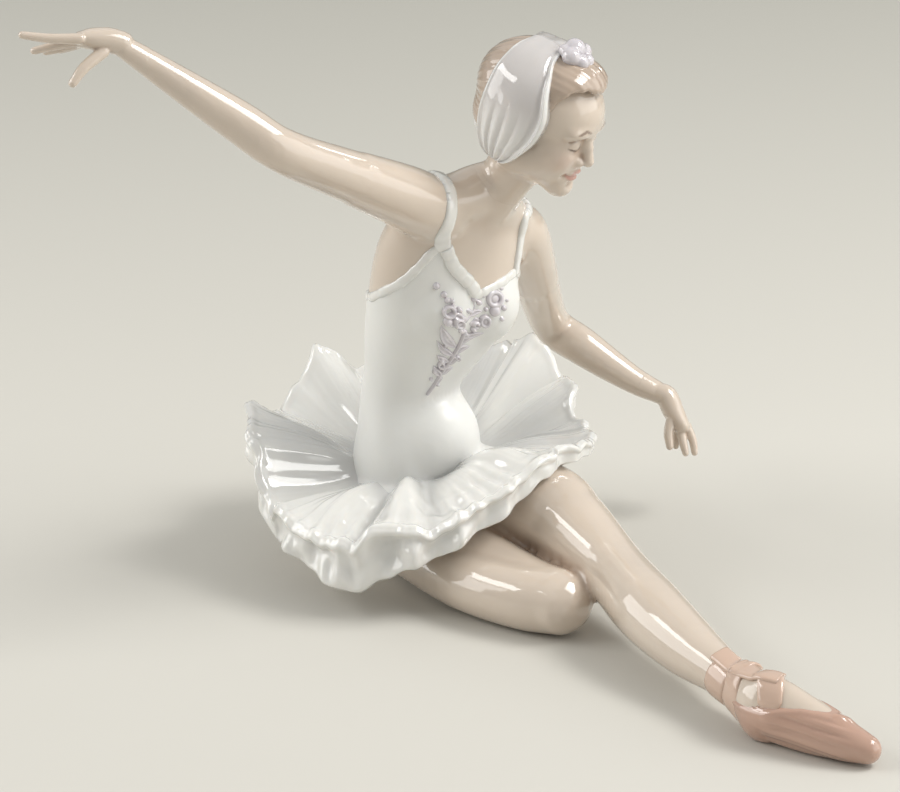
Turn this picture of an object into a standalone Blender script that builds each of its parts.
# Seated ballerina figurine, one fired porcelain casting, resting on its flat-ground underside.
# +X is to the viewer's right, +Y away from the viewer, +Z up; the origin is the middle of the seat's underside.
import math

import bpy
import bmesh
import numpy as np
from mathutils import Vector
from mathutils.bvhtree import BVHTree

# Driving sizes, metres
STATURE = 0.300          # height the dancer would have standing up
UNIT = STATURE / 300.0   # every pose and thickness below is a share of the stature, in 300ths
TRUNK_CELL = 1.1 * UNIT  # fusing grid of the trunk, which is softened hard
VOXEL = 0.75 * UNIT      # fusing grid of the whole casting
FACES_RATIO = 0.0305      # share of the fused faces kept
STRAP_WIDTH = 3.6
STRAP_PROUD = 0.9
HEM_ROLL = 1.0           # radius of the rolled edge round the bodice's top
TUTU_ROOT_RADIUS = 12.0
TUTU_ROOT_HEIGHT = 29.0
TUTU_SKIN = 3.2          # thickness of the skirt away from the ruffle
PLEATS = 9               # broad folds round the skirt
LAP_LIFT = 5.0           # how far the stretched thigh lifts the skirt over it

# Pose: joints of the figure in 300ths of the stature
R_SHOULDER = (-1.6, -28.8, 117.0)
R_ELBOW = (-35.0, -58.5, 139.8)
R_WRIST = (-76.5, -66.0, 170.8)
L_SHOULDER = (28.8, 12.0, 93.8)
L_ELBOW = (39.4, 48.2, 54.2)
L_WRIST = (70.2, 38.0, 33.6)
R_HIP = (-7.0, -8.0, 17.0)
R_KNEE = (39.5, -58.0, 9.4)
R_ANKLE = (-5.0, -13.0, 7.0)
L_HIP = (8.0, 7.0, 19.0)
L_KNEE = (54.8, -54.0, 17.2)
L_ANKLE = (82.5, -113.0, 11.0)
L_HEEL = (89.6, -126.0, 7.6)
L_TOE = (117.3, -145.6, 4.6)
HEAD = (35.0, -19.0, 138.5)
HEAD_YAW = 60.0          # degrees turned to the viewer's right
HEAD_PITCH = 22.0        # degrees bowed

# Spine stations: centre, half width, half depth, yaw, roll (degrees)
TORSO = [
    ((0.0, 2.0, 12.0), 18.0, 15.0, 45.0, 0.0),
    ((-0.5, 1.0, 24.0), 18.5, 15.5, 43.0, 0.0),
    ((-0.6, 0.0, 33.0), 18.4, 15.0, 41.0, 0.0),
    ((-0.1, 0.0, 41.0), 17.6, 13.8, 40.0, 0.0),
    ((-2.0, 0.0, 51.0), 14.4, 11.6, 39.0, 2.0),
    ((0.4, -1.0, 58.5), 16.0, 12.4, 39.0, 5.0),
    ((3.4, -2.6, 67.0), 19.6, 14.2, 39.0, 9.0),
    ((5.8, -4.0, 75.5), 22.2, 15.2, 40.0, 12.0),
    ((7.4, -5.6, 85.0), 23.8, 15.0, 41.0, 16.0),
    ((9.4, -6.8, 95.0), 24.6, 13.6, 44.0, 20.0),
    ((12.4, -7.6, 103.0), 24.0, 11.6, 48.0, 22.0),
    ((15.0, -8.2, 109.5), 17.0, 9.4, 50.0, 22.0),
]

# Skirt rim: angle in degrees from +X towards +Y, reach, height of the top edge, depth of the ruffle
RIM = [
    (-165, 49.0, 40.0, 7.0),
    (-150, 49.0, 27.0, 8.0),
    (-137, 49.5, 22.5, 8.0),
    (-123, 50.5, 19.5, 9.5),
    (-112, 52.0, 18.5, 11.0),
    (-103, 51.0, 25.5, 14.0),
    (-91, 50.0, 26.5, 11.0),
    (-79, 49.5, 29.8, 9.5),
    (-69, 49.5, 32.5, 8.0),
    (-57, 49.5, 37.5, 7.5),
    (-42, 49.5, 43.0, 6.0),
    (-20, 52.0, 44.0, 5.0),
    (0, 50.0, 40.5, 4.5),
    (20, 49.5, 46.5, 4.5),
    (31, 49.5, 44.5, 4.0),
    (42, 49.0, 56.5, 4.0),
    (52, 48.0, 53.5, 4.0),
    (62, 49.5, 50.5, 4.0),
    (76, 49.0, 43.5, 4.0),
    (95, 49.0, 47.0, 4.0),
    (111, 49.0, 41.5, 4.0),
    (126, 50.0, 51.0, 4.0),
    (135, 49.0, 43.5, 4.0),
    (148, 48.5, 35.0, 4.5),
    (160, 48.5, 40.0, 5.0),
    (171, 48.5, 43.5, 6.0),
]


for existing in list(bpy.data.objects):
    bpy.data.objects.remove(existing, do_unlink=True)

parts = bpy.data.collections.new("ballerina_figurine")
cutters = bpy.data.collections.new("ballerina_figurine_cutters")
bpy.context.scene.collection.children.link(parts)
bpy.context.scene.collection.children.link(cutters)


def arr(point):
    return np.array(point, dtype=float)


def unit(v):
    return v / np.linalg.norm(v)


def catmull(rows, steps):
    # Passes a smooth curve through rows of numbers, steps points per span.
    rows = np.array(rows, dtype=float)
    first = 2.0 * rows[0] - rows[1]
    last = 2.0 * rows[-1] - rows[-2]
    k = np.vstack([first, rows, last])
    out = []
    for i in range(1, len(k) - 2):
        for j in range(steps):
            t = j / steps
            out.append(0.5 * (2.0 * k[i] + (k[i + 1] - k[i - 1]) * t
                              + (2.0 * k[i - 1] - 5.0 * k[i] + 4.0 * k[i + 1] - k[i + 2]) * t * t
                              + (3.0 * k[i] - k[i - 1] - 3.0 * k[i + 1] + k[i + 2]) * t ** 3))
    out.append(k[-2])
    return np.array(out)


def mesh_object(name, verts, faces):
    mesh = bpy.data.meshes.new(name)
    mesh.from_pydata([tuple(v) for v in verts], [], faces)
    mesh.update()
    obj = bpy.data.objects.new(name, mesh)
    parts.objects.link(obj)
    return obj


def loft(name, rings):
    # Closed skin over a row of rings with equal point counts, fan-capped at both ends.
    n = len(rings[0])
    verts = [p for ring in rings for p in ring]
    faces = []
    for i in range(len(rings) - 1):
        for j in range(n):
            k = (j + 1) % n
            faces.append((i * n + j, i * n + k, (i + 1) * n + k, (i + 1) * n + j))
    for ring_start, flip in ((0, True), ((len(rings) - 1) * n, False)):
        verts.append(sum(arr(p) for p in verts[ring_start:ring_start + n]) / n)
        tip = len(verts) - 1
        for j in range(n):
            a = ring_start + j
            b = ring_start + (j + 1) % n
            faces.append((tip, b, a) if flip else (tip, a, b))
    return mesh_object(name, np.array(verts) * UNIT, faces)


def limb(name, stations, side=(0.0, 0.0, 1.0), sides=20, steps=6):
    # Round-ended limb through (x, y, z, radius across the side vector, radius along it).
    rows = catmull([tuple(p) + (r1, r2) for p, r1, r2 in stations], steps)
    centres = rows[:, :3]
    tangent = np.gradient(centres, axis=0)
    rings = []
    ends = [(0, -1.0), (len(rows) - 1, 1.0)]
    for i in range(len(rows)):
        t = unit(tangent[i])
        v = unit(arr(side) - t * np.dot(arr(side), t))
        u = np.cross(v, t)
        ring_set = [(0.0, 1.0)]
        for end, sign in ends:
            if i == end:
                caps = [(sign * math.sin(a), math.cos(a)) for a in (0.0, 0.5, 0.95, 1.3)]
                ring_set = caps if sign > 0 else caps[::-1]
        for push, shrink in ring_set:
            base = centres[i] + t * push * min(rows[i, 3], rows[i, 4])
            rings.append([base + shrink * (rows[i, 3] * math.cos(w) * u + rows[i, 4] * math.sin(w) * v)
                          for w in np.linspace(0.0, 2.0 * math.pi, sides, endpoint=False)])
    return loft(name, rings)


def ball(name, centre, radii, axes=None):
    # Ellipsoid with its three radii along the given axes.
    bpy.ops.mesh.primitive_uv_sphere_add(segments=28, ring_count=18, radius=1.0)
    obj = bpy.context.object
    obj.name = name
    frame = np.eye(3) if axes is None else np.array(axes)
    co = np.array([v.co[:] for v in obj.data.vertices])
    co = (co * arr(radii)) @ frame + arr(centre)
    for v, c in zip(obj.data.vertices, co):
        v.co = c * UNIT
    for home in list(obj.users_collection):
        home.objects.unlink(obj)
    parts.objects.link(obj)
    return obj


def lerp(a, b, t):
    return tuple(arr(a) * (1.0 - t) + arr(b) * t)


def fuse(objects, name, cell, rounds):
    # Joins overlapping closed forms into one skin and softens the creases between them.
    shell = bpy.data.meshes.new(name)
    work = bmesh.new()
    for obj in objects:
        work.from_mesh(obj.data)
    bmesh.ops.recalc_face_normals(work, faces=work.faces)
    work.to_mesh(shell)
    work.free()
    for obj in objects:
        bpy.data.objects.remove(obj, do_unlink=True)
    obj = bpy.data.objects.new(name, shell)
    parts.objects.link(obj)
    remesh = obj.modifiers.new("fuse", "REMESH")
    remesh.mode = "VOXEL"
    remesh.voxel_size = cell
    soften = obj.modifiers.new("soften", "SMOOTH")
    soften.factor = 0.5
    soften.iterations = rounds
    return obj


def settled(obj):
    # The object with its modifiers worked into its mesh.
    depsgraph = bpy.context.evaluated_depsgraph_get()
    mesh = bpy.data.meshes.new_from_object(obj.evaluated_get(depsgraph))
    out = bpy.data.objects.new(obj.name, mesh)
    parts.objects.link(out)
    bpy.data.objects.remove(obj, do_unlink=True)
    return out


pieces = []

# Torso, lofted through its sections
rings = []
station_rows = []
for centre, width, depth, yaw, roll in TORSO:
    station_rows.append(tuple(centre) + (width, depth, yaw, roll))
for row in catmull(station_rows, 3):
    yaw = math.radians(row[5])
    roll = math.radians(row[6])
    left = arr((math.cos(yaw) * math.cos(roll), math.sin(yaw) * math.cos(roll), -math.sin(roll)))
    front = arr((math.sin(yaw), -math.cos(yaw), 0.0))
    ring = []
    for w in np.linspace(0.0, 2.0 * math.pi, 32, endpoint=False):
        c, s = math.cos(w), math.sin(w)
        ring.append(row[:3] + left * row[3] * math.copysign(abs(c) ** 0.9, c)
                    + front * row[4] * math.copysign(abs(s) ** 0.9, s))
    rings.append(ring)
pieces.append(loft("torso", rings))

CHEST_LEFT = arr((math.cos(math.radians(40)) * 0.97, math.sin(math.radians(40)) * 0.97, -0.23))
CHEST_FRONT = arr((math.sin(math.radians(40)), -math.cos(math.radians(40)), 0.0))
chest = arr((8.5, -5.4, 83.0))
for sign in (-1.0, 1.0):
    pieces.append(ball("breast", chest + CHEST_FRONT * 4.6 + CHEST_LEFT * sign * 8.8 + arr((0, 0, -2.0)),
                       (11.0, 11.0, 12.5)))
pieces.append(ball("belly", (2.6, -3.0, 37.5), (15.2, 14.0, 15.0)))
pieces.append(limb("right_trapezius", [((-1.0, -26.0, 116.5), 8.6, 8.0), ((8.5, -20.0, 114.0), 8.6, 7.0),
                                      ((18.0, -12.5, 114.5), 8.0, 8.0)]))
pieces.append(limb("left_trapezius", [((28.0, 10.0, 95.5), 8.4, 8.0), ((24.0, 2.0, 102.5), 8.4, 7.0),
                                     ((20.5, -8.0, 110.0), 8.2, 8.2)]))
pieces.append(ball("seat", (-3.0, 4.0, 14.0), (24.0, 20.0, 17.0)))
pieces.append(limb("right_shoulder", [((6.0, -20.0, 110.0), 9.0, 9.0), (R_SHOULDER, 9.9, 9.2),
                                     (lerp(R_SHOULDER, R_ELBOW, 0.45), 8.0, 7.8)]))
pieces.append(limb("left_shoulder", [((25.0, 5.0, 98.0), 8.6, 8.2), (L_SHOULDER, 9.1, 8.5),
                                    (lerp(L_SHOULDER, L_ELBOW, 0.5), 7.3, 7.3)]))
pieces.append(limb("neck", [
    ((12.0, -5.0, 100.0), 10.0, 9.0),
    ((17.0, -9.0, 108.0), 9.2, 8.6),
    ((22.5, -12.2, 115.0), 7.7, 7.7),
    ((27.5, -14.8, 122.5), 7.5, 7.5),
    ((31.0, -17.0, 131.0), 8.2, 8.2),
]))
pieces.append(limb("left_hip", [(L_HIP, 14.5, 13.5), ((34.5, -22.5, 24.0), 13.4, 13.4)]))
pieces.append(limb("right_hip", [(R_HIP, 14.5, 13.5), ((16.2, -33.0, 11.2), 11.8, 10.4)]))
trunk = settled(fuse(pieces, "trunk", TRUNK_CELL, 16))
skin = BVHTree.FromPolygons([v.co.copy() for v in trunk.data.vertices],
                            [tuple(f.vertices) for f in trunk.data.polygons])


def on_skin(point, lift=0.0):
    # Nearest place on the trunk, raised off it, with the skin's outward direction there.
    place, normal, _, _ = skin.find_nearest(Vector(point) * UNIT)
    return arr(place) / UNIT + arr(normal) * lift, arr(normal)


def band(name, points, width, proud, closed_path=False):
    # A flat rounded band laid on the trunk along a path.
    path = catmull(points, 6)
    rings = []
    tangent = np.gradient(path, axis=0)
    for i, p in enumerate(path):
        place, normal = on_skin(p, 0.0)
        t = unit(tangent[i])
        across = unit(np.cross(normal, t))
        rings.append([place + across * (width / 2.0) * math.cos(w) + normal * proud * math.sin(w)
                      for w in np.linspace(0.0, 2.0 * math.pi, 12, endpoint=False)])
    return loft(name, rings)


pieces = [trunk]

# Arms
pieces.append(limb("right_arm", [
    ((6.0, -20.0, 110.0), 9.0, 9.0),
    (R_SHOULDER, 9.4, 8.6),
    (lerp(R_SHOULDER, R_ELBOW, 0.45), 7.6, 7.4),
    (R_ELBOW, 6.0, 6.1),
    (lerp(R_ELBOW, R_WRIST, 0.28), 6.0, 5.8),
    (lerp(R_ELBOW, R_WRIST, 0.7), 4.6, 4.3),
    (R_WRIST, 3.6, 3.0),
]))
pieces.append(limb("left_arm", [
    ((25.0, 5.0, 98.0), 8.6, 8.2),
    (L_SHOULDER, 8.6, 8.0),
    (lerp(L_SHOULDER, L_ELBOW, 0.5), 6.9, 6.9),
    (L_ELBOW, 5.8, 6.0),
    (lerp(L_ELBOW, L_WRIST, 0.3), 5.7, 5.7),
    (lerp(L_ELBOW, L_WRIST, 0.75), 4.4, 4.2),
    (L_WRIST, 3.5, 3.1),
]))

# Hands: a palm and five fingers each, given by knuckle, middle and tip
HANDS = {
    "right": {
        "palm": [((-76.8, -66.0, 171.6), 3.6, 3.3), ((-80.4, -66.6, 172.7), 4.0, 3.4),
                 ((-84.5, -67.6, 173.3), 4.2, 3.0), ((-87.4, -68.2, 173.3), 4.0, 2.3)],
        "fingers": [
            ((-87.4, -71.3, 174.4), (-95.0, -72.8, 174.9), (-102.2, -74.2, 176.2), 1.35),
            ((-87.1, -69.0, 173.3), (-93.4, -69.6, 172.2), (-99.6, -70.2, 170.8), 1.3),
            ((-87.3, -66.5, 172.2), (-92.6, -66.6, 170.6), (-96.8, -66.8, 169.6), 1.25),
            ((-86.9, -64.5, 171.6), (-90.7, -63.6, 170.0), (-93.6, -63.2, 169.0), 1.2),
            ((-81.5, -69.5, 170.4), (-86.4, -73.4, 167.0), (-89.2, -75.8, 163.6), 1.55),
        ],
    },
    "left": {
        "palm": [((70.6, 38.0, 33.8), 3.6, 3.2), ((73.4, 37.3, 35.0), 3.6, 3.2), ((75.2, 35.5, 31.2), 4.0, 3.2),
                 ((77.6, 33.6, 27.4), 4.0, 2.5)],
        "fingers": [
            ((74.6, 33.2, 30.0), (73.6, 31.2, 26.0), (74.0, 29.8, 22.4), 1.45),
            ((77.1, 33.0, 27.4), (77.9, 31.0, 23.2), (78.7, 30.0, 20.2), 1.3),
            ((76.3, 35.5, 27.0), (76.2, 34.5, 23.4), (76.0, 34.0, 20.8), 1.15),
            ((79.0, 34.0, 27.2), (80.8, 32.6, 23.4), (81.4, 31.6, 19.8), 1.3),
            ((79.4, 36.6, 26.4), (80.8, 36.4, 22.6), (81.3, 36.0, 20.0), 1.15),
        ],
    },
}
for hand, data in HANDS.items():
    across = (0.1, 0.35, 0.93) if hand == "right" else (0.75, 0.3, 0.55)
    pieces.append(limb(hand + "_palm", data["palm"], side=across))
    for knuckle, middle, tip, radius in data["fingers"]:
        pieces.append(limb(hand + "_finger", [(knuckle, radius * 1.15, radius * 1.15), (middle, radius, radius),
                                             (tip, radius * 0.8, radius * 0.8)], sides=10, steps=3))

# Legs
pieces.append(limb("left_leg", [
    (L_HIP, 14.0, 13.0),
    ((34.5, -22.5, 24.2), 13.2, 13.2),
    ((43.5, -33.5, 21.5), 11.6, 11.9),
    (L_KNEE, 9.3, 9.6),
    ((64.0, -77.5, 14.8), 9.7, 9.9),
    ((73.0, -96.0, 12.6), 8.4, 8.6),
    (L_ANKLE, 5.8, 6.2),
    (L_HEEL, 4.0, 5.4),
]))
pieces.append(limb("left_foot", [
    ((86.8, -119.5, 11.6), 4.6, 5.8),
    ((90.6, -127.8, 8.9), 5.6, 9.1),
    ((94.5, -130.2, 9.2), 6.0, 9.1),
    ((103.0, -136.4, 7.5), 6.0, 7.4),
    ((111.0, -141.8, 5.8), 5.2, 5.7),
    (L_TOE, 3.8, 3.8),
]))
pieces.append(limb("right_thigh", [
    (R_HIP, 14.0, 13.0),
    ((13.9, -30.5, 11.4), 12.0, 10.6),
    ((30.2, -48.0, 9.6), 10.4, 9.0),
    (R_KNEE, 10.0, 9.4),
]))
pieces.append(limb("right_shin", [
    (R_KNEE, 9.0, 9.2),
    ((29.0, -53.0, 9.0), 9.2, 9.2),
    ((12.5, -38.5, 8.8), 9.0, 8.8),
    (R_ANKLE, 6.5, 6.5),
    ((-14.0, 3.0, 6.0), 6.0, 5.4),
    ((-22.0, 13.0, 4.8), 5.0, 4.6),
    ((-29.0, 21.0, 3.4), 3.4, 3.2),
]))

# Neck and head in the head's own frame: forward, left, up
yaw = math.radians(HEAD_YAW)
pitch = math.radians(HEAD_PITCH)
FWD = arr((math.sin(yaw) * math.cos(pitch), -math.cos(yaw) * math.cos(pitch), -math.sin(pitch)))
LEFT = arr((math.cos(yaw), math.sin(yaw), 0.0))
UP = np.cross(FWD, LEFT)
AXES = [FWD, LEFT, UP]


def in_head(forward, left, up):
    return arr(HEAD) + FWD * forward + LEFT * left + UP * up


HEAD_BALLS = [
    ("cranium", (-2.0, 0.0, 5.0), (17.6, 14.6, 15.4)),
    ("forehead", (6.0, 0.0, 4.4), (10.6, 11.8, 11.0)),
    ("jaw", (6.0, 0.0, -8.2), (9.6, 10.2, 10.4)),
    ("cheek_left", (9.6, 5.6, -5.0), (5.4, 4.6, 5.6)),
    ("cheek_right", (9.6, -5.6, -5.0), (5.4, 4.6, 5.6)),
    ("chin", (12.0, 0.0, -16.2), (3.8, 4.2, 3.4)),
    ("brow_left", (13.2, 4.4, 3.2), (2.6, 4.4, 2.0)),
    ("brow_right", (13.2, -4.4, 3.2), (2.6, 4.4, 2.0)),
    ("lid_left", (12.8, 4.6, -0.4), (2.5, 2.9, 2.1)),
    ("lid_right", (12.8, -4.6, -0.4), (2.5, 2.9, 2.1)),
    ("lips", (14.2, 0.0, -11.0), (2.3, 3.4, 1.8)),
]
for name, place, radii in HEAD_BALLS:
    pieces.append(ball(name, in_head(*place), radii, AXES))
pieces.append(limb("nose", [(in_head(14.6, 0.0, 1.6), 1.2, 1.2), (in_head(16.6, 0.0, -2.4), 1.4, 1.4),
                            (in_head(18.0, 0.0, -5.6), 1.9, 1.8)], sides=12, steps=3))

# Hair, and the feathered headdress as two wings lying over the ears
pieces.append(ball("hair", in_head(-3.4, 0.0, 5.0), (18.2, 15.0, 14.9), AXES))
pieces.append(ball("hair_front", in_head(5.0, 0.0, 13.2), (9.4, 11.4, 7.0), AXES))
pieces.append(ball("hair_nape", in_head(-9.8, 0.0, -5.0), (9.8, 10.5, 8.0), AXES))
pieces.append(ball("feather_nape", in_head(-16.4, 1.5, -9.6), (2.8, 4.5, 5.2), AXES))


# Wing rows from the parting down to the tip below the ear: up, out, middle, half width
WING = [
    (19.2, 0.0, -5.8, 5.0),
    (17.9, 6.5, -5.8, 6.2),
    (15.4, 10.8, -4.9, 7.8),
    (11.4, 14.0, -4.0, 9.2),
    (5.6, 15.6, -2.9, 10.2),
    (-1.4, 15.4, -3.0, 9.6),
    (-8.0, 13.4, -4.0, 7.4),
    (-12.5, 11.0, -4.6, 4.8),
    (-14.0, 10.0, -4.6, 2.0),
]


def wing(name, sign):
    # A feathered shell over the hair, its front edge rolled up.
    rows = catmull(WING, 3)
    cols = 12
    verts = []
    for shell in (0, 1):
        for up, out, middle, half in rows:
            for j in range(cols + 1):
                u = 2.0 * j / cols - 1.0
                forward = middle + half * u
                bend = math.sqrt(max(0.05, 1.0 - ((forward + 2.4) / 21.0) ** 2))
                thick = 0.5 + 1.1 * math.sqrt(1.0 - 0.9 * u * u) + 0.9 * max(0.0, u - 0.55)
                away = thick if shell else -1.2
                side = out * bend
                tilt = math.atan2(side, max(0.1, up - 4.0)) if up > 4.0 else math.pi / 2.0
                side += away * math.sin(tilt)
                verts.append(in_head(forward, sign * side, up * (0.72 + 0.28 * bend) + away * math.cos(tilt)))
    n = len(rows) * (cols + 1)
    faces = []
    for i in range(len(rows) - 1):
        for j in range(cols):
            a = i * (cols + 1) + j
            b, c, d = a + 1, a + cols + 2, a + cols + 1
            faces.append((a, b, c, d))
            faces.append((n + a, n + d, n + c, n + b))
    last = (len(rows) - 1) * (cols + 1)
    border = [j for j in range(cols + 1)]
    border += [i * (cols + 1) + cols for i in range(1, len(rows))]
    border += [last + j for j in range(cols - 1, -1, -1)]
    border += [i * (cols + 1) for i in range(len(rows) - 2, 0, -1)]
    for a, b in zip(border, border[1:] + border[:1]):
        faces.append((b, a, n + a, n + b))
    return mesh_object(name, np.array(verts) * UNIT, faces)


pieces.append(wing("wing_left", 1.0))
pieces.append(wing("wing_right", -1.0))
pieces.append(ball("ornament", in_head(2.9, 0.5, 21.6), (4.2, 5.0, 3.2), AXES))

# Straps over the shoulders and the rolled edge round the bodice's top
pieces.append(band("right_strap", [(-3.0, -2.0, 84.0), (0.0, -6.0, 100.0), (3.0, -14.0, 116.0), (6.5, -23.0, 121.0),
                                  (9.0, -28.5, 115.0), (8.8, -28.0, 108.0), (8.3, -25.6, 101.0)],
                   STRAP_WIDTH, STRAP_PROUD))
pieces.append(band("left_strap", [(14.0, 8.0, 80.0), (20.0, 8.0, 92.0), (26.0, 6.0, 101.0), (29.5, -3.0, 104.0),
                                 (30.5, -4.0, 97.0), (28.5, -4.0, 87.0)], STRAP_WIDTH * 0.8, STRAP_PROUD))
hem = [(-12.4, -16.2, 84.3), (-8.7, -21.2, 87.8), (-4.0, -24.5, 91.5), (0.5, -25.5, 96.0), (4.5, -25.6, 100.5),
       (8.3, -25.6, 102.0), (10.8, -24.0, 96.4), (14.0, -20.0, 90.8), (16.4, -17.6, 85.4), (20.0, -14.5, 85.9),
       (24.3, -9.9, 87.0), (27.6, -4.5, 87.5), (27.0, 4.0, 84.0), (18.0, 9.5, 79.0), (4.0, 8.0, 78.0),
       (-8.0, 1.0, 80.0), (-13.5, -8.0, 82.5), (-12.4, -16.2, 84.3)]
pieces.append(band("bodice_edge", hem, HEM_ROLL * 2.0, HEM_ROLL))

# Ribbons round the ankle and the instep
for start, end, across, tall in (((77.0, -103.6, 12.0), (83.4, -114.8, 11.2), (8.3, 7.4), (8.3, 7.7)),
                                 ((91.6, -128.0, 9.2), (94.2, -129.9, 9.0), (6.6, 6.8), (9.0, 9.0))):
    pieces.append(limb("ribbon", [(start, across[0], tall[0]),
                                  (lerp(start, end, 0.5), sum(across) / 2.0, sum(tall) / 2.0),
                                  (end, across[1], tall[1])], steps=2))

# Skirt: a slab whose every radial section differs, set by the rim table and formulas
rim = np.array(RIM, dtype=float)
closed = np.vstack([rim[-2:] - (360, 0, 0, 0), rim, rim[:2] + (360, 0, 0, 0)])


def rim_at(angle):
    # Smooth reading of the rim table at an angle in degrees.
    i = int(np.searchsorted(closed[:, 0], angle, side="right")) - 1
    i = min(max(i, 1), len(closed) - 3)
    k = closed[i - 1:i + 3]
    t = (angle - k[1][0]) / (k[2][0] - k[1][0])
    m1 = (k[2] - k[0]) / (k[2][0] - k[0][0]) * (k[2][0] - k[1][0])
    m2 = (k[3] - k[1]) / (k[3][0] - k[1][0]) * (k[2][0] - k[1][0])
    return ((2 * t ** 3 - 3 * t ** 2 + 1) * k[1] + (t ** 3 - 2 * t ** 2 + t) * m1
            + (-2 * t ** 3 + 3 * t ** 2) * k[2] + (t ** 3 - t ** 2) * m2)[1:]


AROUND = 240
OUT = 14
tops = []
bottoms = []
for a in range(AROUND):
    degrees = -165.0 + 360.0 * a / AROUND
    w = math.radians(degrees)
    reach, height, ruffle = rim_at(degrees)
    ripple = 0.7 * math.sin(23.0 * w + 0.6) + 0.5 * math.sin(37.0 * w + 2.0)
    top = []
    bottom = []
    for s in np.linspace(0.0, 1.0, OUT):
        r = TUTU_ROOT_RADIUS + (reach + ripple * s ** 4 - TUTU_ROOT_RADIUS) * s
        fold = 2.4 * math.sin(math.pi * s ** 0.9) * (1.4 - 2.4 * abs(math.sin(PLEATS * w / 2.0 + 0.5)))
        z = TUTU_ROOT_HEIGHT + (height - TUTU_ROOT_HEIGHT) * s ** 1.15 + fold
        z += 0.7 * s ** 3 * math.sin(31.0 * w + 1.0)
        z += LAP_LIFT * math.sin(math.pi * min(1.0, s * 1.25)) * math.exp(-((degrees + 33.0) / 24.0) ** 2)
        deep = TUTU_SKIN + (ruffle - TUTU_SKIN) * max(0.0, (s - 0.45) / 0.55) ** 1.5
        top.append((r * math.cos(w), r * math.sin(w), z))
        bottom.append(((r - 0.4) * math.cos(w), (r - 0.4) * math.sin(w), z - deep))
    tops.append(top)
    bottoms.append(bottom)
loop = [t + b[::-1] for t, b in zip(tops, bottoms)]
count = len(loop[0])
verts = [p for section in loop for p in section]
faces = []
for a in range(AROUND):
    b = (a + 1) % AROUND
    for j in range(count):
        k = (j + 1) % count
        faces.append((a * count + j, a * count + k, b * count + k, b * count + j))
pieces.append(mesh_object("skirt", np.array(verts) * UNIT, faces))

# Every form fused into one casting
figure = fuse(pieces, "ballerina_figurine", VOXEL, 4)
figure.data.name = "ballerina_figurine"
decimate = figure.modifiers.new("facets", "DECIMATE")
decimate.ratio = FACES_RATIO

# Flat-ground underside
bpy.ops.mesh.primitive_cube_add(size=1.0)
ground = bpy.context.object
ground.name = "underside_cut"
ground.scale = (0.6, 0.6, 0.05)
ground.location = (0.0, 0.0, -0.025)
for home in list(ground.users_collection):
    home.objects.unlink(ground)
cutters.objects.link(ground)
ground.display_type = "WIRE"
ground.hide_render = True
cut = figure.modifiers.new("underside", "BOOLEAN")
cut.operation = "DIFFERENCE"
cut.solver = "EXACT"
cut.object = ground

porcelain = bpy.data.materials.new("glazed_porcelain")
porcelain.use_nodes = True
shader = porcelain.node_tree.nodes["Principled BSDF"]
shader.inputs["Base Color"].default_value = (0.82, 0.78, 0.73, 1.0)
shader.inputs["Roughness"].default_value = 0.12
figure.data.materials.append(porcelain)
